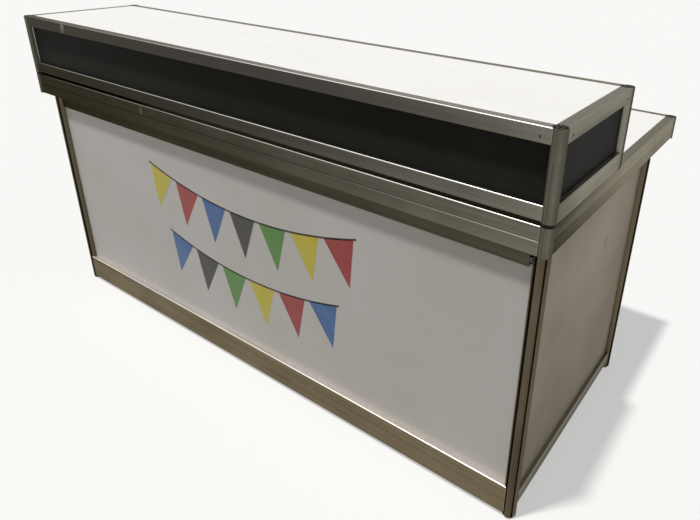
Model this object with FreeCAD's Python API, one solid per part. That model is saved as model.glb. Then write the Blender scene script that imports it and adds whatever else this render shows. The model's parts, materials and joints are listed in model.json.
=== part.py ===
import FreeCAD, Part
import math
import os

# Buffet counter built from extruded round posts and hollow rails, in three units that lift apart:
# a cabinet with an open back, a loose worktop frame, and a riser box on the guests' side.
# Millimetres. X runs along the counter, Y from the guests' side (-Y) to the service side, Z is up.
# The origin lies on the floor under the middle of the worktop.

# Spans between post centres
worktop_span_x = 2160.0
worktop_span_y = 1050.0
cabinet_span_x = 2049.0
cabinet_span_y = 779.0
riser_span_y = 440.0

# Levels above the floor, and the riser's height above the worktop
worktop_level = 900.0
riser_height = 222.0
shelf_level = 440.0
front_base_rail_bottom = 10.0
base_rail_top = 70.0

# Extruded corner posts: slim ones in the worktop frame and the riser, thicker ones in the cabinet
post_diameter = 36.0
cabinet_post_diameter = 40.0
post_bore = 10.0
groove_mouth = 5.5
groove_cavity = 7.4
groove_lip = 2.2
groove_depth = 8.0
side_groove_mouth = 8.0
side_groove_cavity = 8.4
score_width = 1.4
score_depth = 1.2
chamber_wall = 3.0
chamber_web = 2.0
chamber_half_angle = 22.5

# What lies round a post, in degrees from the diagonal that looks out of the frame: grooves for rails and
# panels, plain outer grooves of the cabinet posts, hollow chambers, and fine scored lines on the slim posts
frame_grooves = (135.0, 225.0)
bracket_groove = (180.0,)
outer_groove = (0.0,)
side_grooves = (70.0, 290.0)
slim_chambers = (0.0, 45.0, 90.0, 180.0, 270.0, 315.0)
slim_scores = (45.0, 315.0)

# Hollow rails
rail_width = 30.0
rail_height = 37.5
slim_rail_width = 16.0
slim_rail_end_gap = 8.0
front_base_rail_width = 36.0
front_base_rail_height = 99.0
rail_nose_setback = 9.0
rail_wall = 2.0
rail_edge_radius = 3.0
lip_reach = 12.0
lip_thickness = 4.0
bearer_width = 30.0

# Panels and boards
panel_thickness = 4.0
groove_engagement = 6.0
board_thickness = 19.0
shelf_thickness = 16.0
board_edge_radius = 1.5
side_panel_top_gap = 3.0
riser_gap = 11.0
riser_side_panel_gap = 3.0

# Rail locks: a hooked block in the rail's end and the screw that draws it tight
lock_length = 32.0
lock_height = 12.0
lock_gap = 2.0
lock_head_length = 3.5
lock_screw_radius = 3.0
lock_screw_head_radius = 3.7
lock_screw_depth = 9.0
lock_screw_recess = 0.4
lock_key_size = 4.0
lock_key_depth = 1.4

# Feet, plugs, pins and shelf brackets
foot_pad_inset = 3.0
foot_pad_height = 6.0
foot_pad_chamfer = 1.0
foot_stud_length = 40.0
plug_inset = 1.0
plug_thickness = 3.0
front_plug_thickness = 9.0
plug_stem_length = 12.0
pin_radius = 4.0
pin_height = 14.0
pin_stem_length = 20.0
bracket_reach = 75.0
bracket_drop = 45.0
bracket_heel = 6.0

# Clearances, and how far a cutting shape stands out past the face it cuts
fit = 0.3
board_clearance = 0.5
shelf_clearance = 1.5
pin_clearance = 0.6
overshoot = 1.0

# Sizes that follow from the ones above
post_radius = post_diameter / 2
cabinet_post_radius = cabinet_post_diameter / 2
post_inset = cabinet_post_radius - post_radius
half_rail = rail_width / 2
rail_end_setback = half_rail + board_clearance
worktop_bottom = worktop_level - 2 * rail_height
worktop_front = -worktop_span_y / 2
worktop_right = worktop_span_x / 2
cabinet_right = worktop_right - post_inset
cabinet_front = worktop_front + post_inset
cabinet_left = cabinet_right - cabinet_span_x
cabinet_rear = cabinet_front + cabinet_span_y
cabinet_mid_x = (cabinet_right + cabinet_left) / 2
cabinet_mid_y = (cabinet_front + cabinet_rear) / 2
riser_rear = worktop_front + riser_span_y
riser_mid_y = (worktop_front + riser_rear) / 2
riser_level = worktop_level + riser_height
riser_lower_rail = worktop_level + riser_gap
riser_upper_rail = riser_level - rail_height
riser_side_rail = worktop_level + board_clearance
riser_side_rail_height = riser_lower_rail + rail_height - riser_side_rail
cabinet_top_rail = worktop_bottom - rail_height
panel_groove_width = panel_thickness + 2 * fit
panel_groove_depth = groove_engagement + 2 * fit
groove_block_depth = panel_groove_depth + rail_wall
groove_block_half = panel_groove_width / 2 + rail_wall
riser_lock_level = groove_block_depth + lock_height / 2 + fit
board_lip_level = rail_height - board_thickness
lock_nose_width = groove_mouth - 2 * fit
lock_head_width = groove_cavity - 2 * fit
bracket_thickness = groove_mouth - 2 * fit
foot_pad_radius = cabinet_post_radius - foot_pad_inset
plug_radius = post_radius - plug_inset
stem_radius = post_bore / 2 - fit
lip_side_setback = half_rail + lip_reach + fit

turns = {"front": 0.0, "right": 90.0, "rear": 180.0, "left": 270.0}
up = FreeCAD.Vector(0, 0, 1)
nodes = {}
lock_sets = {}
screw_sets = {}


def point(x, y, z):
    return FreeCAD.Vector(x, y, z)


def block(x0, x1, y0, y1, z0, z1):
    low_x = min(x0, x1)
    low_y = min(y0, y1)
    low_z = min(z0, z1)
    return Part.makeBox(abs(x1 - x0), abs(y1 - y0), abs(z1 - z0), point(low_x, low_y, low_z))


def rod(x, y, z0, z1, radius):
    return Part.makeCylinder(radius, z1 - z0, point(x, y, z0), up)


def joined(first, *others):
    return first.multiFuse(list(others)).removeSplitter()


def place(shape, side, x, y, z):
    # A shape made along X with its outside towards -Y is turned to its side of the frame and moved there.
    moved = shape.copy()
    moved.rotate(point(0, 0, 0), up, turns[side])
    moved.translate(point(x, y, z))
    return moved


def keep(name, *shapes):
    solids = [solid for shape in shapes for solid in shape.Solids]
    nodes[name] = solids[0] if len(solids) == 1 else Part.makeCompound(solids)


# Posts

def groove_outline(radius, mouth_width=groove_mouth, cavity_width=groove_cavity):
    mouth = mouth_width / 2
    cavity = cavity_width / 2
    outside = radius + overshoot
    lip = radius - groove_lip
    floor = radius - groove_depth
    corners = [
        (outside, -mouth), (lip, -mouth), (lip, -cavity), (floor, -cavity),
        (floor, cavity), (lip, cavity), (lip, mouth), (outside, mouth), (outside, -mouth),
    ]
    return Part.Face(Part.makePolygon([point(x, y, 0) for x, y in corners]))


def chamber_outline(radius):
    # A closed hollow between the bore and the outer wall, in one eighth of the section
    inner = post_bore / 2 + chamber_wall
    outer = radius - chamber_wall
    slope = math.tan(math.radians(chamber_half_angle))
    inner_half = inner * slope - chamber_web / 2
    outer_half = outer * slope - chamber_web / 2
    corners = [(inner, -inner_half), (outer, -outer_half), (outer, outer_half), (inner, inner_half),
               (inner, -inner_half)]
    return Part.Face(Part.makePolygon([point(x, y, 0) for x, y in corners]))


def score_outline(radius):
    half = score_width / 2
    outside = radius + overshoot
    floor = radius - score_depth
    corners = [(outside, -half), (floor, -half), (floor, half), (outside, half), (outside, -half)]
    return Part.Face(Part.makePolygon([point(x, y, 0) for x, y in corners]))


def post_section(radius, features):
    # features pairs an outline with the directions in which the section is cut by it
    section = Part.Face(Part.Wire(Part.makeCircle(radius)))
    cuts = [Part.Face(Part.Wire(Part.makeCircle(post_bore / 2)))]
    for outline, directions in features:
        for direction in directions:
            cut = outline.copy()
            cut.rotate(point(0, 0, 0), up, direction)
            cuts.append(cut)
    return section.cut(cuts)


def slim_post_section():
    return post_section(post_radius, (
        (groove_outline(post_radius), frame_grooves),
        (chamber_outline(post_radius), slim_chambers),
        (score_outline(post_radius), slim_scores),
    ))


def cabinet_post_section():
    radius = cabinet_post_radius
    return post_section(radius, (
        (groove_outline(radius), frame_grooves + bracket_groove + outer_groove),
        (groove_outline(radius, side_groove_mouth, side_groove_cavity), side_grooves),
    ))


def make_posts(unit, xs, ys, bottoms, top, section):
    for depth_name, y, bottom, depth_sign in zip(("front", "rear"), ys, bottoms, (-1, 1)):
        for side_name, x, side_sign in zip(("left", "right"), xs, (-1, 1)):
            post = section.extrude(point(0, 0, top - bottom))
            post.rotate(point(0, 0, 0), up, math.degrees(math.atan2(depth_sign, side_sign)))
            post.translate(point(x, y, bottom))
            keep(f"{unit}_post_{depth_name}_{side_name}", post)


# Rails

def rail_bar(length, width, height, groove_top, groove_bottom):
    # A hollow bar along X with rounded edges, and a panel groove let into its top or bottom where wanted
    half = width / 2
    end = length / 2
    groove_half = panel_groove_width / 2
    bar = block(-end, end, -half, half, 0, height)
    long_edges = [edge for edge in bar.Edges if edge.BoundBox.XLength > end]
    bar = bar.makeFillet(rail_edge_radius, long_edges)
    chamber = block(-end, end, rail_wall - half, half - rail_wall, rail_wall, height - rail_wall)
    for wanted, face, inward in ((groove_top, height, -1), (groove_bottom, 0, 1)):
        if wanted:
            wall_end = face + inward * groove_block_depth
            groove_end = face + inward * panel_groove_depth
            chamber = chamber.cut(block(-end, end, -groove_block_half, groove_block_half, face, wall_end))
            bar = bar.cut(block(-end, end, -groove_half, groove_half, face, groove_end))
    return bar.cut(chamber)


def hexagon_prism(across_flats, depth):
    radius = across_flats / math.sqrt(3)
    corners = []
    for index in range(7):
        angle = math.radians(60 * index)
        corners.append(point(radius * math.cos(angle), radius * math.sin(angle), 0))
    return Part.Face(Part.makePolygon(corners)).extrude(point(0, 0, depth))


def lock_pair(span, width, level, face, radius):
    # face is -1 where the screw is reached from outside the frame and +1 where from inside
    locks = []
    screws = []
    wall_face = width / 2 - rail_wall
    body_half = wall_face - fit
    lock_start = radius + lock_gap
    head_start = radius - groove_depth + 2 * fit
    for end in (-1, 1):
        post_x = end * span / 2
        screw_x = post_x - end * (lock_start + lock_length / 2)
        low = level - lock_height / 2
        high = level + lock_height / 2
        body = block(post_x - end * lock_start, post_x - end * (lock_start + lock_length),
                     -body_half, body_half, low, high)
        nose = block(post_x - end * head_start, post_x - end * lock_start,
                     -lock_nose_width / 2, lock_nose_width / 2, low, high)
        head = block(post_x - end * head_start, post_x - end * (head_start + lock_head_length),
                     -lock_head_width / 2, lock_head_width / 2, low, high)
        toward = point(0, -face, 0)
        bore = Part.makeCylinder(lock_screw_radius + fit, lock_screw_depth + fit,
                                 point(screw_x, face * body_half, level), toward)
        locks.append(joined(body, nose, head).cut(bore))
        shank = Part.makeCylinder(lock_screw_radius, lock_screw_depth,
                                  point(screw_x, face * wall_face, level), toward)
        top = width / 2 - lock_screw_recess
        cap = Part.makeCylinder(lock_screw_head_radius, top - wall_face,
                                point(screw_x, face * top, level), toward)
        key = hexagon_prism(lock_key_size, lock_key_depth)
        key.rotate(point(0, 0, 0), point(1, 0, 0), 90.0 * face)
        key.translate(point(screw_x, face * top, level))
        screws.append(joined(shank, cap).cut(key))
    return locks, screws


def make_rail(unit, name, side, span, x, y, bottom, width=rail_width, height=rail_height,
              groove_top=False, groove_bottom=False, lip_level=None, lip_setback=rail_end_setback,
              lock_level=None, lock_face=1, extra_cuts=(), radius=post_radius, end_gap=fit):
    # A rail between two posts. Its ends are scooped to the posts and stop short inside the corner, where the
    # next rail comes in. A lip inside may carry a board.
    length = span - 2 * rail_nose_setback
    rail = rail_bar(length, width, height, groove_top, groove_bottom)
    if lip_level is not None:
        lip_half = span / 2 - lip_setback
        rail = joined(rail, block(-lip_half, lip_half, width / 2 - rail_wall / 2, width / 2 + lip_reach,
                                  lip_level - lip_thickness, lip_level))
    level = height / 2 if lock_level is None else lock_level
    hole_x = span / 2 - radius - lock_gap - lock_length / 2
    cuts = []
    for end in (-1, 1):
        corner = sorted((end * (span / 2 - rail_end_setback), end * span / 2))
        cuts.append(rod(end * span / 2, 0, -overshoot, height + overshoot, radius + end_gap))
        cuts.append(block(corner[0], corner[1], 0, width / 2 + overshoot, -overshoot, height + overshoot))
        cuts.append(Part.makeCylinder(lock_screw_head_radius + fit, 2 * rail_wall,
                                      point(end * hole_x, lock_face * (width / 2 + rail_wall / 2), level),
                                      point(0, -lock_face, 0)))
    placed = place(rail.cut(cuts), side, x, y, bottom)
    if extra_cuts:
        placed = placed.cut(list(extra_cuts))
    keep(f"{unit}_{name}", placed)
    locks, screws = lock_pair(span, width, level, lock_face, radius)
    lock_sets.setdefault(unit, []).extend(place(lock, side, x, y, bottom) for lock in locks)
    screw_sets.setdefault(unit, []).extend(place(screw, side, x, y, bottom) for screw in screws)


# Boards and panels

def make_board(name, span_x, span_y, x, y, top):
    half_x = span_x / 2 - half_rail - board_clearance
    half_y = span_y / 2 - half_rail - board_clearance
    board = block(x - half_x, x + half_x, y - half_y, y + half_y, top - board_thickness, top)
    rim = [edge for edge in board.Edges if edge.BoundBox.ZMin > top - 1e-6]
    keep(name, board.makeFillet(board_edge_radius, rim))


def make_shelf(name, top, thickness, front, rear):
    side_gap = panel_thickness / 2 + shelf_clearance
    shelf = block(cabinet_left + side_gap, cabinet_right - side_gap, front, rear, top - thickness, top)
    notches = []
    for x in (cabinet_left, cabinet_right):
        for y in (cabinet_front, cabinet_rear):
            reach = cabinet_post_radius + shelf_clearance
            notches.append(block(x - reach, x + reach, y - reach, y + reach, top - thickness, top))
    keep(name, shelf.cut(notches))


def panel_along_x(name, span, x, y, bottom, top, radius=post_radius):
    half = span / 2 - radius + groove_engagement
    keep(name, block(x - half, x + half, y - panel_thickness / 2, y + panel_thickness / 2, bottom, top))


def panel_along_y(name, span, x, y, bottom, top, radius=post_radius):
    half = span / 2 - radius + groove_engagement
    keep(name, block(x - panel_thickness / 2, x + panel_thickness / 2, y - half, y + half, bottom, top))


# Cabinet

def make_cabinet():
    radius = cabinet_post_radius
    make_posts("cabinet", (cabinet_left, cabinet_right), (cabinet_front, cabinet_rear),
               (foot_pad_height, foot_pad_height), worktop_bottom, cabinet_post_section())
    make_rail("cabinet", "front_top_rail", "front", cabinet_span_x, cabinet_mid_x, cabinet_front,
              cabinet_top_rail, width=slim_rail_width, groove_bottom=True, radius=radius,
              end_gap=slim_rail_end_gap)
    make_rail("cabinet", "rear_top_rail", "rear", cabinet_span_x, cabinet_mid_x, cabinet_rear,
              cabinet_top_rail, width=slim_rail_width, groove_bottom=True, radius=radius)
    make_rail("cabinet", "front_base_rail", "front", cabinet_span_x, cabinet_mid_x, cabinet_front,
              front_base_rail_bottom, width=front_base_rail_width, height=front_base_rail_height,
              groove_top=True, lip_level=base_rail_top - front_base_rail_bottom,
              lip_setback=radius + board_clearance, radius=radius)
    base_bottom = base_rail_top - rail_height
    make_rail("cabinet", "rear_base_rail", "rear", cabinet_span_x, cabinet_mid_x, cabinet_rear, base_bottom,
              radius=radius)
    for side, x in (("left", cabinet_left), ("right", cabinet_right)):
        make_rail("cabinet", f"{side}_base_rail", side, cabinet_span_y, x, cabinet_mid_y, base_bottom,
                  groove_top=True, radius=radius)
        panel_along_y(f"cabinet_{side}_panel", cabinet_span_y, x, cabinet_mid_y,
                      base_rail_top - groove_engagement, worktop_bottom - side_panel_top_gap, radius)
    panel_along_x("cabinet_front_panel", cabinet_span_x, cabinet_mid_x, cabinet_front,
                  front_base_rail_bottom + front_base_rail_height - groove_engagement,
                  cabinet_top_rail + groove_engagement, radius)
    make_shelf("cabinet_floor_board", base_rail_top + shelf_thickness, shelf_thickness,
               cabinet_front + front_base_rail_width / 2 + shelf_clearance, cabinet_rear + half_rail)
    make_shelf("cabinet_shelf", shelf_level, shelf_thickness,
               cabinet_front + panel_thickness / 2 + shelf_clearance, cabinet_rear + half_rail)
    make_shelf_brackets()
    make_locating_pins()


def make_shelf_brackets():
    # Each gusset plate hooks into the post groove that looks diagonally into the cabinet.
    top = shelf_level - shelf_thickness
    inner = cabinet_post_radius - groove_engagement
    outer = cabinet_post_radius + bracket_reach
    outline = [(inner, top), (outer, top), (outer, top - bracket_drop / 3),
               (cabinet_post_radius + bracket_heel, top - bracket_drop), (inner, top - bracket_drop),
               (inner, top)]
    plate = Part.Face(Part.makePolygon([point(x, -bracket_thickness / 2, z) for x, z in outline]))
    plate = plate.extrude(point(0, bracket_thickness, 0))
    brackets = []
    for x, y, turn in ((cabinet_left, cabinet_front, 45.0), (cabinet_right, cabinet_front, 135.0),
                       (cabinet_right, cabinet_rear, 225.0), (cabinet_left, cabinet_rear, 315.0)):
        bracket = plate.copy()
        bracket.rotate(point(0, 0, 0), up, turn)
        bracket.translate(point(x, y, 0))
        brackets.append(bracket)
    keep("cabinet_shelf_brackets", *brackets)


def make_locating_pins():
    # Stepped pins in three of the post bores stand up into the worktop frame and keep it in its place.
    pins = []
    for x, y in ((cabinet_left, cabinet_front), (cabinet_left, cabinet_rear), (cabinet_right, cabinet_rear)):
        stem = rod(x, y, worktop_bottom - pin_stem_length, worktop_bottom, stem_radius)
        pins.append(joined(stem, rod(x, y, worktop_bottom, worktop_bottom + pin_height, pin_radius)))
    keep("cabinet_locating_pins", *pins)


def pin_hole(x, y):
    top = worktop_bottom + pin_height + fit
    return rod(x, y, worktop_bottom - overshoot, top, pin_radius + pin_clearance)


def make_feet():
    for depth_name, y in (("front", cabinet_front), ("rear", cabinet_rear)):
        for side_name, x in (("left", cabinet_left), ("right", cabinet_right)):
            pad = rod(x, y, 0, foot_pad_height, foot_pad_radius)
            sole = [edge for edge in pad.Edges if edge.BoundBox.ZMax < 1e-6]
            pad = pad.makeChamfer(foot_pad_chamfer, sole)
            stud = rod(x, y, foot_pad_height, foot_pad_height + foot_stud_length, stem_radius)
            keep(f"foot_{depth_name}_{side_name}", joined(pad, stud))


# Worktop frame

def make_worktop():
    worktop_rear = worktop_span_y / 2
    upper_bottom = worktop_level - rail_height
    lock_above_lip = rail_height - board_thickness / 2
    make_posts("worktop", (-worktop_right, worktop_right), (worktop_front, worktop_rear),
               (worktop_bottom, worktop_bottom), worktop_level, slim_post_section())
    places = (("front", worktop_span_x, 0, worktop_front), ("rear", worktop_span_x, 0, worktop_rear),
              ("left", worktop_span_y, -worktop_right, 0), ("right", worktop_span_y, worktop_right, 0))
    holes = {"front": [pin_hole(cabinet_left, cabinet_front)],
             "right": [pin_hole(cabinet_right, cabinet_rear)]}
    for side, span, x, y in places:
        setback = rail_end_setback if side in ("front", "rear") else lip_side_setback
        face = 1 if side in ("front", "rear") else -1
        make_rail("worktop", f"{side}_upper_rail", side, span, x, y, upper_bottom,
                  lip_level=board_lip_level, lip_setback=setback, lock_level=lock_above_lip, lock_face=face)
        make_rail("worktop", f"{side}_lower_rail", side, span, x, y, worktop_bottom,
                  extra_cuts=holes.get(side, ()))
    make_board("worktop_board", worktop_span_x, worktop_span_y, 0, 0, worktop_level)
    make_bearer("worktop_left_bearer", cabinet_left, [pin_hole(cabinet_left, cabinet_rear)])
    make_bearer("worktop_middle_bearer", cabinet_mid_x, [])


def make_bearer(name, x, holes):
    # A tube under the board, from the front rails to the rear ones, notched where their lips reach over it.
    half = bearer_width / 2
    end = worktop_span_y / 2 - half_rail
    top = worktop_level - board_thickness
    tube = block(x - half, x + half, -end, end, worktop_bottom, top)
    inside = block(x - half + rail_wall, x + half - rail_wall, -end, end,
                   worktop_bottom + rail_wall, top - rail_wall)
    cuts = [inside] + holes
    for edge in (-end, end):
        toward_middle = -math.copysign(lip_reach + fit, edge)
        cuts.append(block(x - half, x + half, edge, edge + toward_middle, top - lip_thickness - fit, top))
    keep(name, tube.cut(cuts))


# Riser

def make_riser():
    bottoms = (worktop_level + front_plug_thickness, worktop_level + plug_thickness)
    make_posts("riser", (-worktop_right, worktop_right), (worktop_front, riser_rear), bottoms, riser_level,
               slim_post_section())
    places = (("front", worktop_span_x, 0, worktop_front), ("rear", worktop_span_x, 0, riser_rear),
              ("left", riser_span_y, -worktop_right, riser_mid_y),
              ("right", riser_span_y, worktop_right, riser_mid_y))
    for side, span, x, y in places:
        setback = rail_end_setback if side in ("front", "rear") else lip_side_setback
        make_rail("riser", f"{side}_upper_rail", side, span, x, y, riser_upper_rail, groove_bottom=True,
                  lip_level=board_lip_level, lip_setback=setback, lock_level=riser_lock_level, lock_face=-1)
    make_rail("riser", "front_lower_rail", "front", worktop_span_x, 0, worktop_front, riser_lower_rail,
              groove_top=True)
    panel_bottom = riser_lower_rail + rail_height
    panel_top = riser_upper_rail + groove_engagement
    panel_along_x("riser_front_panel", worktop_span_x, 0, worktop_front, panel_bottom - groove_engagement,
                  panel_top)
    for side, x in (("left", -worktop_right), ("right", worktop_right)):
        make_rail("riser", f"{side}_lower_rail", side, riser_span_y, x, riser_mid_y, riser_side_rail,
                  height=riser_side_rail_height, groove_top=True)
        panel_along_y(f"riser_{side}_panel", riser_span_y, x, riser_mid_y,
                      panel_bottom + riser_side_panel_gap, panel_top)
    make_board("riser_top_board", worktop_span_x, riser_span_y, 0, riser_mid_y, riser_level)
    plugs = []
    for x in (-worktop_right, worktop_right):
        for y, bottom in zip((worktop_front, riser_rear), bottoms):
            disc = rod(x, y, worktop_level, bottom, plug_radius)
            plugs.append(joined(disc, rod(x, y, bottom, bottom + plug_stem_length, stem_radius)))
    keep("riser_post_plugs", *plugs)


make_cabinet()
make_feet()
make_worktop()
make_riser()
for unit_name in lock_sets:
    keep(f"{unit_name}_rail_locks", *lock_sets[unit_name])
    keep(f"{unit_name}_lock_screws", *screw_sets[unit_name])

os.makedirs("parts", exist_ok=True)
for node_name, node_shape in nodes.items():
    node_shape.exportStep(f"parts/{node_name}.step")
print(len(nodes), "nodes,", sum(len(shape.Solids) for shape in nodes.values()), "solids")
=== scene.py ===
import json
import math
import bpy
from mathutils import Matrix, Vector


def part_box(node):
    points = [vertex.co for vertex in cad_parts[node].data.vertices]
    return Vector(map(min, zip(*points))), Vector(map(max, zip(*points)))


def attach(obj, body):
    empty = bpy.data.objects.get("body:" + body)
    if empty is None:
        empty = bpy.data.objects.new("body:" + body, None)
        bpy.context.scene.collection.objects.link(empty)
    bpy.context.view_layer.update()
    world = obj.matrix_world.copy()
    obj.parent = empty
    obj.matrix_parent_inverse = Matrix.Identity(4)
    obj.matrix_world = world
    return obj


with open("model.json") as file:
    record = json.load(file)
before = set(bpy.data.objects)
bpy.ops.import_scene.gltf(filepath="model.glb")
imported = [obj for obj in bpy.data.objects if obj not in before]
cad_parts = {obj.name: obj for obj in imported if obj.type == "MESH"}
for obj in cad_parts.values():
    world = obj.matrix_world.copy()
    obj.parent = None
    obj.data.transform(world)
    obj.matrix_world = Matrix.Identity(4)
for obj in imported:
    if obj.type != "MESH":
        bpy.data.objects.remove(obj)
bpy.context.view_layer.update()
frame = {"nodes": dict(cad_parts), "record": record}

print("frame loaded:", len(frame["nodes"]), "nodes")

rangeSockets = ("From Min", "From Max", "To Min", "To Max")  # the order of the numbers in every range below


def linear(hexText):
    parts = [int(hexText[i:i + 2], 16) / 255 for i in (1, 3, 5)]
    return tuple(p / 12.92 if p <= 0.04045 else ((p + 0.055) / 1.055) ** 2.4 for p in parts) + (1.0,)


def addNode(tree, kind, values={}, links={}, **settings):
    node = tree.nodes.new(kind)
    for name, value in settings.items():
        setattr(node, name, value)
    for key, value in values.items():
        node.inputs[key].default_value = value
    for key, socket in links.items():
        tree.links.new(socket, node.inputs[key])
    return node


def startMaterial(name):
    material = bpy.data.materials.new(name)
    material.use_nodes = True
    tree = material.node_tree
    tree.nodes.clear()
    coords = addNode(tree, "ShaderNodeTexCoord").outputs["Object"]
    return material, tree, coords


def endMaterial(tree, shader):
    addNode(tree, "ShaderNodeOutputMaterial", links={"Surface": shader.outputs[0]})


# one knock or rub: a faint ragged patch, twice as long up and down as along
scuff = {
    "upright": 0.5,
    "cells": 2.5,             # bits of its ragged edge across the patch
    "ragged": 2.4,
    "fade": (2.4, 1.2, 0.0, 0.6),  # from its outer end to its middle
}


def addScuff(tree, coords, colour, spot, size, hexText):
    offset = addNode(tree, "ShaderNodeVectorMath", {1: spot}, {0: coords}, operation="SUBTRACT").outputs[0]
    shrink = (1 / size, 1 / size, scuff["upright"] / size)
    offset = addNode(tree, "ShaderNodeVectorMath", {1: shrink}, {0: offset}, operation="MULTIPLY").outputs[0]
    away = addNode(tree, "ShaderNodeVectorMath", links={0: offset}, operation="LENGTH").outputs["Value"]
    edge = addNode(tree, "ShaderNodeTexNoise", {"Scale": scuff["cells"] / size, "Detail": 3.0},
                   {"Vector": coords}).outputs[0]
    reach = addNode(tree, "ShaderNodeMath", {1: scuff["ragged"]}, {0: edge, 2: away},
                    operation="MULTIPLY_ADD").outputs[0]
    patch = addNode(tree, "ShaderNodeMapRange", dict(zip(rangeSockets, scuff["fade"])),
                    {"Value": reach}).outputs[0]
    return addNode(tree, "ShaderNodeMix", {7: linear(hexText)}, {0: patch, 6: colour},
                   data_type="RGBA").outputs[2]


def rareMarks(tree, cells, fade, rare, channel):
    # a cell of the pattern shows its core, but only where its own random colour is over the limit
    core = addNode(tree, "ShaderNodeMapRange", dict(zip(rangeSockets, fade)),
                   {"Value": cells.outputs["Distance"]}).outputs[0]
    pick = addNode(tree, "ShaderNodeSeparateColor", links={0: cells.outputs["Color"]}).outputs[channel]
    pick = addNode(tree, "ShaderNodeMath", {1: rare}, {0: pick}, operation="GREATER_THAN").outputs[0]
    return addNode(tree, "ShaderNodeMath", links={0: core, 1: pick}, operation="MULTIPLY").outputs[0]


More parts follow.
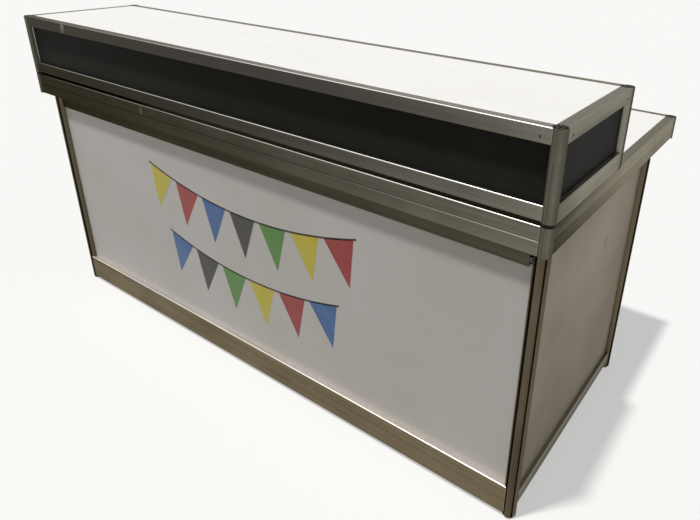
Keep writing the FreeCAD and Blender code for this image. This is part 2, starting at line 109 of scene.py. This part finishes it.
# mill-extruded and anodised: long die lines, handling bands, brown-grey grime, bright where edges are rubbed;
# painted light and shade on flat tops, rounded lips, rail ends and posts
aluminium = {
    "lineWidth": 0.0024,      # die lines are 0.3 to 0.8 mm apart, drawn coarser so that they show
    "lineLength": 0.70,
    "lineShare": 0.6,
    "lineBump": 0.2,
    "lineDepth": 0.0003,
    "bandWidth": 0.014,
    "bandLength": 0.90,
    "bandShare": 0.8,
    "patchSize": 0.30,
    "tone": (0.95, 1.45),     # from grimy to clean
    "nickLength": 0.014,
    "nickWidth": 0.0022,
    "nick": (0.22, 0.08, 0.0, 0.22),
    "nickRare": 0.93,         # one cell of fourteen has a nick
    "edgeRadius": 0.0012,
    "edge": (0.995, 0.93, 0.0, 0.30),  # wear, by how far the bevelled normal turns
    "polish": 0.36,
    "dull": 0.48,
    "flatTop": (0.96, 0.995),  # these two by how far the surface looks up
    "rounding": (0.25, 0.55),
    "rubbedAndLit": (0.30, 0.97),   # these two by how far a post's surface looks along its lean
    "inside": (0.0, -0.2),
    "postLean": (0.36, 0.93),  # how far the lit side of a post looks along and across the counter
    "middle": -0.13,          # between the front and the rear posts of every unit
    # clean and grimy faces; flat tops and rounded lips painted lighter or darker as the light falls on them,
    # the lip colour also going on worn edges; what the oxide skin leaves of slanting reflections; the dark
    # end darkens a rail from one place to another along an axis, and holds on longer where the bend is high;
    # each rail and post has its own copy, lighter or darker as the light falls where it stands; posts carry
    # painted shading, lit on the counter's long sides, with painted shade on their flanks and a painted
    # highlight next to the panels; a scuff has a place, a size and a colour
    "shades": {
        "riserTop": {
            "clean": "#7b776d", "grimy": "#676157", "top": "#9a9994", "lip": "#f0eee8", "slant": "#c4c1ba",
            "darkEnd": "#474440", "axis": "X", "dark": -1.10, "bright": 1.10, "bend": 8.0, "lipBend": 0.8,
            "scuffs": (((-0.815, -0.540, 1.112), 0.012, "#a19e95"),),
        },
        "ledge": {
            "clean": "#79756b", "grimy": "#646056", "top": "#4a4841", "lip": "#f4f2ed", "slant": "#c4c1ba",
            "darkEnd": "#33312b", "axis": "X", "dark": -1.10, "bright": 1.10, "bend": 3.0, "lipBend": 0.45,
        },
        # the rim's flat top is painted dark: shade in the gap under the riser
        "rim": {
            "clean": "#757166", "grimy": "#605c51", "top": "#35322b", "lip": "#f0eee8", "slant": "#c4c1ba",
            "darkEnd": "#312e25", "axis": "X", "dark": -1.10, "bright": 1.10, "bend": 2.0, "lipBend": 0.9,
            "scuffs": (((-0.396, -0.540, 0.876), 0.008, "#7a766b"),),
        },
        "rimLow": {
            "clean": "#757166", "grimy": "#605c51", "top": "#2c2a24", "lip": "#e4e1d8", "slant": "#c4c1ba",
            "darkEnd": "#302d23", "axis": "X", "dark": -1.10, "bright": 1.10, "bend": 2.0, "lipBend": 6.0,
        },
        # the cabinet's top rail under the rim: a darker copy, painted shade cast by the rim
        "sheltered": {
            "clean": "#4e4a3e", "grimy": "#403d32", "top": "#48453a", "lip": "#55524a", "slant": "#c4c1ba",
            "darkEnd": "#272319", "axis": "X", "dark": -1.10, "bright": 1.00, "bend": 1.0, "lipBend": 1.0,
        },
        "base": {
            "clean": "#766b55", "grimy": "#645a45", "top": "#cfcac3", "lip": "#efede7", "slant": "#e5e3dd",
        },
        "riserSide": {
            "clean": "#8b8579", "grimy": "#787267", "top": "#76736a", "lip": "#8f8b82", "slant": "#e5e3dd",
            "darkEnd": "#36332a", "axis": "Y", "dark": -0.60, "bright": -0.38, "bend": 1.0, "lipBend": 1.0,
        },
        "rimSide": {
            "clean": "#989184", "grimy": "#857e72", "top": "#76736a", "lip": "#8f8b82", "slant": "#d6d3c9",
            "darkEnd": "#1a1810", "axis": "Y", "dark": -0.55, "bright": -0.05, "bend": 1.0, "lipBend": 1.0,
        },
        "rimSideLow": {
            "clean": "#888173", "grimy": "#756e62", "top": "#76736a", "lip": "#8f8b82", "slant": "#d1cec3",
            "darkEnd": "#19170f", "axis": "Y", "dark": -0.545, "bright": -0.05, "bend": 1.05, "lipBend": 1.0,
        },
        "plain": {
            "clean": "#7f7b6f", "grimy": "#6c685d", "top": "#76736a", "lip": "#8f8b82", "slant": "#e5e3dd",
        },
        "slimPost": {
            "clean": "#6e6a5f", "grimy": "#48443a", "top": "#4a4740", "lip": "#8a867c", "slant": "#d8d6d0",
            "shadedFlank": "#413e35", "inner": "#827e74",
        },
        # the riser's front left post: the same, with a brighter painted highlight next to its panel
        "endPost": {
            "clean": "#6e6a5f", "grimy": "#48443a", "top": "#4a4740", "lip": "#8a867c", "slant": "#e5e3dd",
            "shadedFlank": "#413e35", "inner": "#d8d4ca",
        },
        "stoutPost": {
            "clean": "#645b4b", "grimy": "#484032", "top": "#4c4537", "lip": "#7a7262", "slant": "#d8d6d0",
            "shadedFlank": "#5c5443", "inner": "#5f5746",
        },
    },
    "special": {              # every other rail is plain
        "riser_post_front_left": "endPost",
        "riser_front_upper_rail": "riserTop",
        "riser_front_lower_rail": "ledge",
        "riser_right_lower_rail": "riserSide",
        "worktop_front_upper_rail": "rim",
        "worktop_front_lower_rail": "rimLow",
        "worktop_right_upper_rail": "rimSide",
        "worktop_right_lower_rail": "rimSideLow",
        "cabinet_front_top_rail": "sheltered",
        "cabinet_front_base_rail": "base",
    },
}


def anodisedAluminium(shadeName, run, look):
    material, tree, coords = startMaterial("anodised_aluminium_" + shadeName + "_" + run)
    shade = look["shades"][shadeName]

    def stretched(along, across):
        scale = [1 / along if axis == run else 1 / across for axis in "xyz"]
        return addNode(tree, "ShaderNodeMapping", {"Scale": scale}, {"Vector": coords}).outputs[0]

    lines = addNode(tree, "ShaderNodeTexNoise", {"Scale": 1.0, "Detail": 3.0, "Roughness": 0.6},
                    {"Vector": stretched(look["lineLength"], look["lineWidth"])}).outputs[0]
    bands = addNode(tree, "ShaderNodeTexNoise", {"Scale": 1.0, "Detail": 2.0},
                    {"Vector": stretched(look["bandLength"], look["bandWidth"])}).outputs[0]
    patches = addNode(tree, "ShaderNodeTexNoise",
                      {"Scale": 1 / look["patchSize"], "Detail": 4.0, "Roughness": 0.6},
                      {"Vector": coords}).outputs[0]
    mixed = addNode(tree, "ShaderNodeMath", {1: look["bandShare"]}, {0: bands, 2: patches},
                    operation="MULTIPLY_ADD").outputs[0]
    mixed = addNode(tree, "ShaderNodeMath", {1: look["lineShare"]}, {0: lines, 2: mixed},
                    operation="MULTIPLY_ADD").outputs[0]
    tone = addNode(tree, "ShaderNodeMapRange", dict(zip(rangeSockets, look["tone"])),
                   {"Value": mixed}).outputs[0]
    colour = addNode(tree, "ShaderNodeMix", {6: linear(shade["grimy"]), 7: linear(shade["clean"])},
                     {0: tone}, data_type="RGBA").outputs[2]

    # where the surface looks: flat tops and the rounded upper edges get painted light and shade, lighter or
    # darker than the faces
    normal = addNode(tree, "ShaderNodeNewGeometry").outputs["Normal"]
    place = addNode(tree, "ShaderNodeSeparateXYZ", links={0: coords})
    upward = addNode(tree, "ShaderNodeSeparateXYZ", links={0: normal}).outputs["Z"]
    flatTop, rounding = [addNode(tree, "ShaderNodeMapRange", dict(zip(rangeSockets, look[name])),
                                 {"Value": upward}).outputs[0] for name in ("flatTop", "rounding")]
    rounding = addNode(tree, "ShaderNodeMath", links={0: rounding, 1: flatTop},
                       operation="SUBTRACT").outputs[0]

    # posts: painted shading round the profile, lit where the surface looks along the lean, painted shade on
    # the flanks and a painted highlight where it turns back towards the panels
    if "shadedFlank" in shade:
        across = addNode(tree, "ShaderNodeMath", {1: look["middle"]}, {0: place.outputs["Y"]},
                         operation="SUBTRACT")
        signs = [addNode(tree, "ShaderNodeMath", links={0: socket}, operation="SIGN").outputs[0]
                 for socket in (place.outputs["X"], across.outputs[0])]
        outward = addNode(tree, "ShaderNodeCombineXYZ", links={0: signs[0], 1: signs[1]}).outputs[0]
        outward = addNode(tree, "ShaderNodeVectorMath", {1: look["postLean"] + (0,)}, {0: outward},
                          operation="MULTIPLY").outputs[0]
        facing = addNode(tree, "ShaderNodeVectorMath", links={0: outward, 1: normal},
                         operation="DOT_PRODUCT").outputs["Value"]
        rubbedAndLit, inside = [addNode(tree, "ShaderNodeMapRange", dict(zip(rangeSockets, look[name])),
                                  {"Value": facing}).outputs[0] for name in ("rubbedAndLit", "inside")]
        colour = addNode(tree, "ShaderNodeMix", {6: linear(shade["shadedFlank"])}, {0: rubbedAndLit, 7: colour},
                         data_type="RGBA").outputs[2]
        colour = addNode(tree, "ShaderNodeMix", {7: linear(shade["inner"])}, {0: inside, 6: colour},
                         data_type="RGBA").outputs[2]
    # painted light and shade: flat tops and rounded lips take their own colours, as the light falls on them
    colour = addNode(tree, "ShaderNodeMix", {7: linear(shade["top"])}, {0: flatTop, 6: colour},
                     data_type="RGBA").outputs[2]
    colour = addNode(tree, "ShaderNodeMix", {7: linear(shade["lip"])}, {0: rounding, 6: colour},
                     data_type="RGBA").outputs[2]
    # the dark end: on the front rails painted shade, a darker reflection of the room growing towards the left
    # end; on the side rails the colour darkens towards the front
    if "darkEnd" in shade:
        reach = addNode(tree, "ShaderNodeMapRange", {"From Min": shade["dark"], "From Max": shade["bright"]},
                        {"Value": place.outputs[shade["axis"]]}).outputs[0]
        onFace, onLip = [addNode(tree, "ShaderNodeMath", {1: bend}, {0: reach}, operation="POWER").outputs[0]
                         for bend in (shade["bend"], shade["lipBend"])]
        upper = addNode(tree, "ShaderNodeMath", links={0: rounding, 1: flatTop},
                        operation="MAXIMUM").outputs[0]
        bright = addNode(tree, "ShaderNodeMix", links={0: upper, 2: onFace, 3: onLip}).outputs[0]
        colour = addNode(tree, "ShaderNodeMix", {6: linear(shade["darkEnd"])}, {0: bright, 7: colour},
                         data_type="RGBA").outputs[2]
    for spot, size, hexText in shade.get("scuffs", ()):
        colour = addScuff(tree, coords, colour, spot, size, hexText)

    # short nicks along the run
    cells = addNode(tree, "ShaderNodeTexVoronoi", {"Scale": 1.0},
                    {"Vector": stretched(look["nickLength"], look["nickWidth"])})
    nicks = rareMarks(tree, cells, look["nick"], look["nickRare"], "Red")

    # edges: the bevelled normal turns away from the true one there
    bevelled = addNode(tree, "ShaderNodeBevel", {"Radius": look["edgeRadius"]}, samples=4).outputs[0]
    turned = addNode(tree, "ShaderNodeVectorMath", links={0: bevelled, 1: normal},
                     operation="DOT_PRODUCT").outputs["Value"]
    edges = addNode(tree, "ShaderNodeMapRange", dict(zip(rangeSockets, look["edge"])),
                    {"Value": turned}).outputs[0]
    edges = addNode(tree, "ShaderNodeMath", links={0: edges, 1: patches}, operation="MULTIPLY").outputs[0]
    worn = addNode(tree, "ShaderNodeMath", links={0: edges, 1: nicks}, operation="MAXIMUM").outputs[0]
    # worn edges and nicks take the lip colour, which on the rounded lips is a painted highlight
    colour = addNode(tree, "ShaderNodeMix", {7: linear(shade["lip"])}, {0: worn, 6: colour},
                     data_type="RGBA").outputs[2]

    rough = addNode(tree, "ShaderNodeMapRange", {"To Min": look["dull"], "To Max": look["polish"]},
                    {"Value": tone}).outputs[0]
    bump = addNode(tree, "ShaderNodeBump", {"Strength": look["lineBump"], "Distance": look["lineDepth"]},
                   {"Height": lines}).outputs[0]
    shader = addNode(tree, "ShaderNodeBsdfPrincipled",
                     {"Metallic": 1.0, "Specular Tint": linear(shade["slant"])},
                     {"Base Color": colour, "Roughness": rough, "Normal": bump})
    endMaterial(tree, shader)
    return material


# melamine-faced chipboard: hard satin white skin with a pearl texture, faint soil, hair scratches and spots
whiteBoard = {
    "name": "melamine_faced_board",
    "face": "#eeedeb",
    "soiled": "#eae8e4",
    "mark": "#d0cabf",
    "patchSize": 0.22,
    "pearl": 0.0024,          # a real pearl texture is under 1 mm, drawn coarser on all four sheets
    "speckSize": 0.035,
    "scratchLength": 0.12,
    "scratchWidth": 0.004,
    "polish": 0.36,
    "dull": 0.52,
    "specular": 0.5,
}

# high-pressure laminate, white, on the front: satin, lightly scratched, greyer towards the floor
frontLaminate = {
    "name": "white_laminate",
    "face": "#eeeae7",
    "soiled": "#e7e2dd",
    "mark": "#cbc5be",
    "patchSize": 0.50,
    "pearl": 0.0030,
    "speckSize": 0.050,
    "scratchLength": 0.15,
    "scratchWidth": 0.004,
    "polish": 0.38,
    "dull": 0.52,
    "grimeTop": 0.30,         # grime climbs from the floor to this height
    "specular": 0.5,
}

# the same laminate on the sides, its white painted down to a warm grey as shade, with shorter scratches, more
# grime and one knock
sideLaminate = {
    "name": "white_laminate_painted_shade",
    "face": "#b4a58a",
    "soiled": "#a3947a",
    "mark": "#cfc6b6",
    "patchSize": 0.48,
    "pearl": 0.0030,
    "speckSize": 0.060,
    "scratchLength": 0.05,
    "scratchWidth": 0.003,
    "polish": 0.40,
    "dull": 0.58,
    "grimeTop": 0.55,
    "specular": 0.5,
    "scuffs": (((1.080, -0.034, 0.650), 0.014, "#5c5446"),),
}

# black laminate: matt, with wiped dust and pale hair scratches
blackLaminate = {
    "name": "black_laminate",
    "face": "#2f2f2c",
    "soiled": "#393936",
    "mark": "#565450",
    "patchSize": 0.26,
    "pearl": 0.0026,
    "speckSize": 0.030,
    "scratchLength": 0.07,
    "scratchWidth": 0.0022,
    "polish": 0.38,
    "dull": 0.55,
    "specular": 0.015,        # a dead-matt skin gives back hardly any of the room
}

# what the four sheets share
sheetSkin = {
    "soil": (0.38, 0.72),
    "scratchTurn": (0.4, 0.7, 0.35),
    "scratch": (0.25, 0.10, 0.0, 0.45),
    "scratchRare": 0.92,      # one cell in twelve has a scratch
    "spot": (0.06, 0.03, 0.0, 0.6),
    "spotRare": 0.90,         # one cell in ten has a spot
    "wear": (0.3, 0.7),
    "pearlBump": 0.12,
    "pearlDepth": 0.0002,
    "ior": 1.50,
}


def facedSheet(look):
    material, tree, coords = startMaterial(look["name"])
    patches = addNode(tree, "ShaderNodeTexNoise",
                      {"Scale": 1 / look["patchSize"], "Detail": 5.0, "Roughness": 0.6},
                      {"Vector": coords}).outputs[0]
    soil = addNode(tree, "ShaderNodeMapRange", dict(zip(rangeSockets, sheetSkin["soil"])),
                   {"Value": patches}).outputs[0]
    if "grimeTop" in look:
        height = addNode(tree, "ShaderNodeSeparateXYZ", links={0: coords}).outputs["Z"]
        low = addNode(tree, "ShaderNodeMapRange", {"From Min": look["grimeTop"], "From Max": 0.0},
                      {"Value": height}).outputs[0]
        low = addNode(tree, "ShaderNodeMath", links={0: low, 1: patches}, operation="MULTIPLY").outputs[0]
        soil = addNode(tree, "ShaderNodeMath", links={0: soil, 1: low}, operation="ADD",
                       use_clamp=True).outputs[0]
    colour = addNode(tree, "ShaderNodeMix", {6: linear(look["face"]), 7: linear(look["soiled"])},
                     {0: soil}, data_type="RGBA").outputs[2]

    # hair scratches: long thin cells laid askew
    thin = 1 / look["scratchWidth"]
    askew = addNode(tree, "ShaderNodeMapping",
                    {"Rotation": sheetSkin["scratchTurn"], "Scale": (1 / look["scratchLength"], thin, thin)},
                    {"Vector": coords}).outputs[0]
    cells = addNode(tree, "ShaderNodeTexVoronoi", {"Scale": 1.0}, {"Vector": askew})
    scratches = rareMarks(tree, cells, sheetSkin["scratch"], sheetSkin["scratchRare"], "Red")

    # small round spots
    cells = addNode(tree, "ShaderNodeTexVoronoi", {"Scale": 1 / look["speckSize"]}, {"Vector": coords})
    spots = rareMarks(tree, cells, sheetSkin["spot"], sheetSkin["spotRare"], "Green")
    marks = addNode(tree, "ShaderNodeMath", links={0: scratches, 1: spots}, operation="MAXIMUM").outputs[0]
    colour = addNode(tree, "ShaderNodeMix", {7: linear(look["mark"])}, {0: marks, 6: colour},
                     data_type="RGBA").outputs[2]
    for spot, size, hexText in look.get("scuffs", ()):
        colour = addScuff(tree, coords, colour, spot, size, hexText)

    rough = addNode(tree, "ShaderNodeMapRange",
                    dict(zip(rangeSockets, sheetSkin["wear"] + (look["polish"], look["dull"]))),
                    {"Value": patches}).outputs[0]
    pearl = addNode(tree, "ShaderNodeTexNoise", {"Scale": 1 / look["pearl"], "Detail": 1.0},
                    {"Vector": coords}).outputs[0]
    bump = addNode(tree, "ShaderNodeBump",
                   {"Strength": sheetSkin["pearlBump"], "Distance": sheetSkin["pearlDepth"]},
                   {"Height": pearl}).outputs[0]
    shader = addNode(tree, "ShaderNodeBsdfPrincipled",
                     {"IOR": sheetSkin["ior"], "Specular IOR Level": look["specular"]},
                     {"Base Color": colour, "Roughness": rough, "Normal": bump})
    endMaterial(tree, shader)
    return material


# moulded polyamide: matt black with a spark-eroded grain, greyed by dust
blackPlastic = {
    "name": "moulded_polyamide", "face": "#161615", "dusty": "#2b2a27", "grain": 0.0012, "dust": 0.012,
    "metallic": 0.0, "specular": 0.15, "polish": 0.45, "dull": 0.65,
}

# zinc-plated steel: bluish satin metal with a cloudy, slightly yellow passivation
zincSteel = {
    "name": "zinc_plated_steel", "face": "#b2b4b4", "dusty": "#8f8a78", "grain": 0.0030, "dust": 0.010,
    "metallic": 1.0, "specular": 0.5, "polish": 0.28, "dull": 0.45,
}

# the same zinc, dark with oil and dirt and darkened further as painted shade, in the locks' holes
oilyShadedSteel = {
    "name": "zinc_plated_steel_oily_shaded", "face": "#625f58", "dusty": "#45423b", "grain": 0.0030, "dust": 0.006,
    "metallic": 1.0, "specular": 0.5, "polish": 0.40, "dull": 0.60,
}

# what the small fittings share
fittingSkin = {"clouds": (0.4, 0.7), "grainBump": 0.3, "grainDepth": 0.0002}


def smallFitting(look):
    material, tree, coords = startMaterial(look["name"])
    clouds = addNode(tree, "ShaderNodeTexNoise", {"Scale": 1 / look["dust"], "Detail": 3.0},
                     {"Vector": coords}).outputs[0]
    soil = addNode(tree, "ShaderNodeMapRange", dict(zip(rangeSockets, fittingSkin["clouds"])),
                   {"Value": clouds}).outputs[0]
    colour = addNode(tree, "ShaderNodeMix", {6: linear(look["face"]), 7: linear(look["dusty"])},
                     {0: soil}, data_type="RGBA").outputs[2]
    rough = addNode(tree, "ShaderNodeMapRange", {"To Min": look["polish"], "To Max": look["dull"]},
                    {"Value": clouds}).outputs[0]
    grain = addNode(tree, "ShaderNodeTexNoise", {"Scale": 1 / look["grain"], "Detail": 2.0},
                    {"Vector": coords}).outputs[0]
    bump = addNode(tree, "ShaderNodeBump",
                   {"Strength": fittingSkin["grainBump"], "Distance": fittingSkin["grainDepth"]},
                   {"Height": grain}).outputs[0]
    shader = addNode(tree, "ShaderNodeBsdfPrincipled",
                     {"Metallic": look["metallic"], "Specular IOR Level": look["specular"]},
                     {"Base Color": colour, "Roughness": rough, "Normal": bump})
    endMaterial(tree, shader)
    return material


# cast vinyl film: thin, satin, with a fine orange peel and a little scuffing
vinyl = {"peel": 0.004, "rubSize": 0.06, "rub": (0.45, 0.75), "polish": 0.30, "dull": 0.46,
         "peelBump": 0.1, "peelDepth": 0.0002, "ior": 1.52}


def vinylFilm(colourName, face, rubbedFace):
    material, tree, coords = startMaterial("vinyl_film_" + colourName)
    rubs = addNode(tree, "ShaderNodeTexNoise",
                   {"Scale": 1 / vinyl["rubSize"], "Detail": 6.0, "Roughness": 0.7},
                   {"Vector": coords}).outputs[0]
    rubbedAndLit = addNode(tree, "ShaderNodeMapRange", dict(zip(rangeSockets, vinyl["rub"])),
                     {"Value": rubs}).outputs[0]
    colour = addNode(tree, "ShaderNodeMix", {6: linear(face), 7: linear(rubbedFace)}, {0: rubbedAndLit},
                     data_type="RGBA").outputs[2]
    rough = addNode(tree, "ShaderNodeMapRange", {"To Min": vinyl["polish"], "To Max": vinyl["dull"]},
                    {"Value": rubs}).outputs[0]
    peel = addNode(tree, "ShaderNodeTexNoise", {"Scale": 1 / vinyl["peel"], "Detail": 1.0},
                   {"Vector": coords}).outputs[0]
    bump = addNode(tree, "ShaderNodeBump", {"Strength": vinyl["peelBump"], "Distance": vinyl["peelDepth"]},
                   {"Height": peel}).outputs[0]
    shader = addNode(tree, "ShaderNodeBsdfPrincipled", {"IOR": vinyl["ior"]},
                     {"Base Color": colour, "Roughness": rough, "Normal": bump})
    endMaterial(tree, shader)
    return material


slotFinish = {
    "white_faced_board": facedSheet(whiteBoard),
    "white_panel": facedSheet(frontLaminate),
    "warm_grey_panel": facedSheet(sideLaminate),
    "black_panel": facedSheet(blackLaminate),
    "black_plastic": smallFitting(blackPlastic),
    "zinc_plated_steel": smallFitting(oilyShadedSteel),
}
bracketSteel = smallFitting(zincSteel)
aluminiumMade = {}
slotOf = {part["node"]: part["material_slot"] for part in frame["record"]["subparts"]}
print("sheet and fitting materials made")


def shadeFor(node):
    if node in aluminium["special"]:
        return aluminium["special"][node]
    if "_post_" in node:
        return "stoutPost" if node.startswith("cabinet") else "slimPost"
    return "plain"


def finishFor(node):
    if node == "cabinet_shelf_brackets":
        return bracketSteel
    if slotOf[node] in slotFinish:
        return slotFinish[slotOf[node]]
    low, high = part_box(node)
    size = high - low
    run = "xyz"[max(range(3), key=lambda axis: size[axis])]  # the profile runs along its longest side
    key = (shadeFor(node), run)
    if key not in aluminiumMade:
        aluminiumMade[key] = anodisedAluminium(*key, aluminium)
    return aluminiumMade[key]


for nodeName, nodeObject in frame["nodes"].items():
    for materialSlot in nodeObject.material_slots:
        materialSlot.material = finishFor(nodeName)
print("materials on the frame's nodes")


# a plain printed garland of pennants on the front panel
garland = {
    "panelFace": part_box("cabinet_front_panel")[0].y,
    "film": 0.0003,
    "sunk": 0.00005,          # the film's back lies just inside the panel's skin
    "cord": 0.006,
    "cordSteps": 40,
    "flag": (0.118, 0.155),
    "corner": 0.003,
    "cornerSteps": 3,
    "swags": (
        {"left": -0.42, "right": 0.54, "height": 0.685, "sag": 0.075, "flags": 7, "first": 0},
        {"left": -0.35, "right": 0.47, "height": 0.435, "sag": 0.060, "flags": 6, "first": 2},
    ),
    "colours": {              # as printed, and where it is rubbed
        "yellow": ("#e8d832", "#e9dd6a"),
        "red": ("#b2302b", "#b9514b"),
        "blue": ("#3a6fb4", "#6288bd"),
        "black": ("#242221", "#3a3836"),
        "green": ("#5b9a39", "#7aa95f"),
    },
}


def deselectAll():
    if bpy.context.object and bpy.context.object.mode != "OBJECT":
        bpy.ops.object.mode_set(mode="OBJECT")
    bpy.ops.object.select_all(action="DESELECT")


def selectOnly(*pieces):
    deselectAll()
    for piece in pieces:
        piece.select_set(True)
    bpy.context.view_layer.objects.active = pieces[0]


def settle(piece):
    # the piece's place goes into its mesh
    selectOnly(piece)
    bpy.ops.object.transform_apply(location=True, rotation=True, scale=True)


def thicken(depth):
    # the flat film, in edit mode, gets its thickness towards the panel
    bpy.ops.mesh.select_all(action="SELECT")
    bpy.ops.mesh.extrude_region_move(TRANSFORM_OT_translate={"value": (0, depth, 0)})
    bpy.ops.mesh.select_all(action="SELECT")
    bpy.ops.mesh.normals_make_consistent(inside=False)
    bpy.ops.object.mode_set(mode="OBJECT")


def swagShape(swag):
    # a swag is an arc: its radius, its centre and half its angle
    half = (swag["right"] - swag["left"]) / 2
    radius = (half ** 2 + swag["sag"] ** 2) / (2 * swag["sag"])
    centre = Vector(((swag["left"] + swag["right"]) / 2, garland["panelFace"] - garland["film"],
                     swag["height"] - swag["sag"] + radius))
    return radius, centre, math.asin(half / radius)


def ontoSwag(piece, radius, centre, angle):
    # from the origin to its place along the arc
    piece.data.transform(Matrix.Translation(centre) @ Matrix.Rotation(-angle, 4, "Y")
                         @ Matrix.Translation((0, 0, -radius)))


def makeFlag():
    width, length = garland["flag"]
    deselectAll()
    bpy.ops.mesh.primitive_circle_add(vertices=3, radius=1, fill_type="NGON", rotation=(-math.pi / 2, 0, 0),
                                      location=(0, 0, -length / 3))
    flag = bpy.context.object
    flag.scale = (width / math.sqrt(3), length / 1.5, 1)  # a triangle in a unit circle is that wide and high
    settle(flag)
    bpy.ops.object.mode_set(mode="EDIT")
    bpy.ops.mesh.select_all(action="SELECT")
    bpy.ops.mesh.bevel(offset=garland["corner"], segments=garland["cornerSteps"], affect="VERTICES")
    thicken(garland["film"] + garland["sunk"])
    return flag


def makeCord(swag):
    radius, centre, half = swagShape(swag)
    deselectAll()
    bpy.ops.mesh.primitive_plane_add(size=garland["cord"], rotation=(math.pi / 2, 0, 0))
    cord = bpy.context.object
    settle(cord)
    bpy.ops.object.mode_set(mode="EDIT")
    bpy.ops.mesh.select_all(action="DESELECT")
    bpy.ops.object.mode_set(mode="OBJECT")
    for corner in cord.data.vertices:
        corner.select = corner.co.x > 0
    bpy.ops.object.mode_set(mode="EDIT")
    bpy.ops.mesh.delete(type="VERT")  # one edge is left, as wide as the cord, and is spun along the arc
    bpy.ops.mesh.select_all(action="SELECT")
    bpy.ops.transform.translate(value=(garland["cord"] / 2, 0, 0))
    bpy.ops.mesh.spin(steps=garland["cordSteps"], angle=2 * half, center=(0, 0, radius), axis=(0, -1, 0))
    thicken(garland["film"] + garland["sunk"])
    ontoSwag(cord, radius, centre, half)
    return cord


def joinPieces(pieces, name, material):
    selectOnly(*pieces)
    if len(pieces) > 1:
        bpy.ops.object.join()
    joined = bpy.context.object
    joined.name = name
    joined.data.name = name
    joined.data.materials.clear()
    joined.data.materials.append(material)
    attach(joined, "cabinet")


colourNames = list(garland["colours"])
filmMaterials = {name: vinylFilm(name, *faces) for name, faces in garland["colours"].items()}
flagPattern = makeFlag()
flagsByColour = {name: [] for name in colourNames}
cords = []
for swag in garland["swags"]:
    radius, centre, half = swagShape(swag)
    cords.append(makeCord(swag))
    for place in range(swag["flags"]):
        selectOnly(flagPattern)
        bpy.ops.object.duplicate()
        flag = bpy.context.object
        ontoSwag(flag, radius, centre, half * (2 * (place + 0.5) / swag["flags"] - 1))
        flagsByColour[colourNames[(place + swag["first"]) % len(colourNames)]].append(flag)
bpy.data.objects.remove(flagPattern)
for name, flags in flagsByColour.items():
    joinPieces(flags, "garland_flags_" + name, filmMaterials[name])
joinPieces(cords, "garland_cords", filmMaterials["black"])
print("garland printed:", sum(swag["flags"] for swag in garland["swags"]), "pennants")


def seenDirectly(tree):
    # 1 for what the camera sees, also in gloss and through glass, 0 for light on its way to a surface
    path = addNode(tree, "ShaderNodeLightPath").outputs
    seen = path["Is Camera Ray"]
    for kind in ("Is Glossy Ray", "Is Transmission Ray"):
        seen = addNode(tree, "ShaderNodeMath", links={0: seen, 1: path[kind]}, operation="MAXIMUM").outputs[0]
    return seen


# a pale floor, whiter to the eye and to reflections than to bounced light
floorLook = {"size": 80.0, "seen": "#f4f4f3", "bounced": "#8a8883", "glow": 0.55}
deselectAll()
bpy.ops.mesh.primitive_plane_add(size=floorLook["size"])
floor = bpy.context.object
floor.name = "floor"
floorMaterial, tree = startMaterial("studio_floor")[:2]
seen = seenDirectly(tree)
paint = addNode(tree, "ShaderNodeMix", {6: linear(floorLook["bounced"]), 7: linear(floorLook["seen"])},
                {0: seen}, data_type="RGBA").outputs[2]
matt = addNode(tree, "ShaderNodeBsdfDiffuse", links={"Color": paint}).outputs[0]
white = addNode(tree, "ShaderNodeEmission", {"Color": linear(floorLook["seen"])}).outputs[0]
glow = addNode(tree, "ShaderNodeMath", {1: floorLook["glow"]}, {0: seen}, operation="MULTIPLY").outputs[0]
endMaterial(tree, addNode(tree, "ShaderNodeMixShader", links={0: glow, 1: matt, 2: white}))
floor.data.materials.append(floorMaterial)

# soft studio light: a pale room and a steep lamp from the guests' left
light = {
    "room": "#f6f6f4", "roomSeen": 0.92, "roomLight": 0.15,
    "sunFrom": (-0.12, -0.160, 0.980), "sunFar": 5.0,
    "sunStrength": 3.05, "sunAngle": 3.0, "sunColour": "#fffefc",
}
world = bpy.data.worlds.new("studio")
bpy.context.scene.world = world
world.use_nodes = True
tree = world.node_tree
tree.nodes.clear()
strength = addNode(tree, "ShaderNodeMapRange", {"To Min": light["roomLight"], "To Max": light["roomSeen"]},
                   {"Value": seenDirectly(tree)}).outputs[0]
room = addNode(tree, "ShaderNodeBackground", {"Color": linear(light["room"])}, {"Strength": strength})
addNode(tree, "ShaderNodeOutputWorld", links={"Surface": room.outputs[0]})

deselectAll()
bpy.ops.object.light_add(type="SUN", location=Vector(light["sunFrom"]) * light["sunFar"])
sun = bpy.context.object
sun.rotation_euler = Vector(light["sunFrom"]).to_track_quat("Z", "Y").to_euler()
sun.data.energy = light["sunStrength"]
sun.data.angle = math.radians(light["sunAngle"])
sun.data.color = linear(light["sunColour"])[:3]

# the photograph's place: from the guests' right, above the riser
lens = {"place": (1.4996, -1.6667, 1.4940), "turn": 34.44, "tilt": 65.39, "roll": 1.65,
        "sensor": 36, "length": 31.34, "shift": (-0.0858, -0.0872)}
deselectAll()
bpy.ops.object.camera_add()
camera = bpy.context.object
camera.matrix_world = (Matrix.Translation(lens["place"]) @ Matrix.Rotation(math.radians(lens["turn"]), 4, "Z")
                       @ Matrix.Rotation(math.radians(lens["tilt"]), 4, "X")
                       @ Matrix.Rotation(math.radians(lens["roll"]), 4, "Z"))
camera.data.sensor_width = lens["sensor"]
camera.data.lens = lens["length"]
camera.data.shift_x, camera.data.shift_y = lens["shift"]
bpy.context.scene.camera = camera
bpy.context.scene.view_settings.view_transform = "Standard"
print("floor, light and camera set")
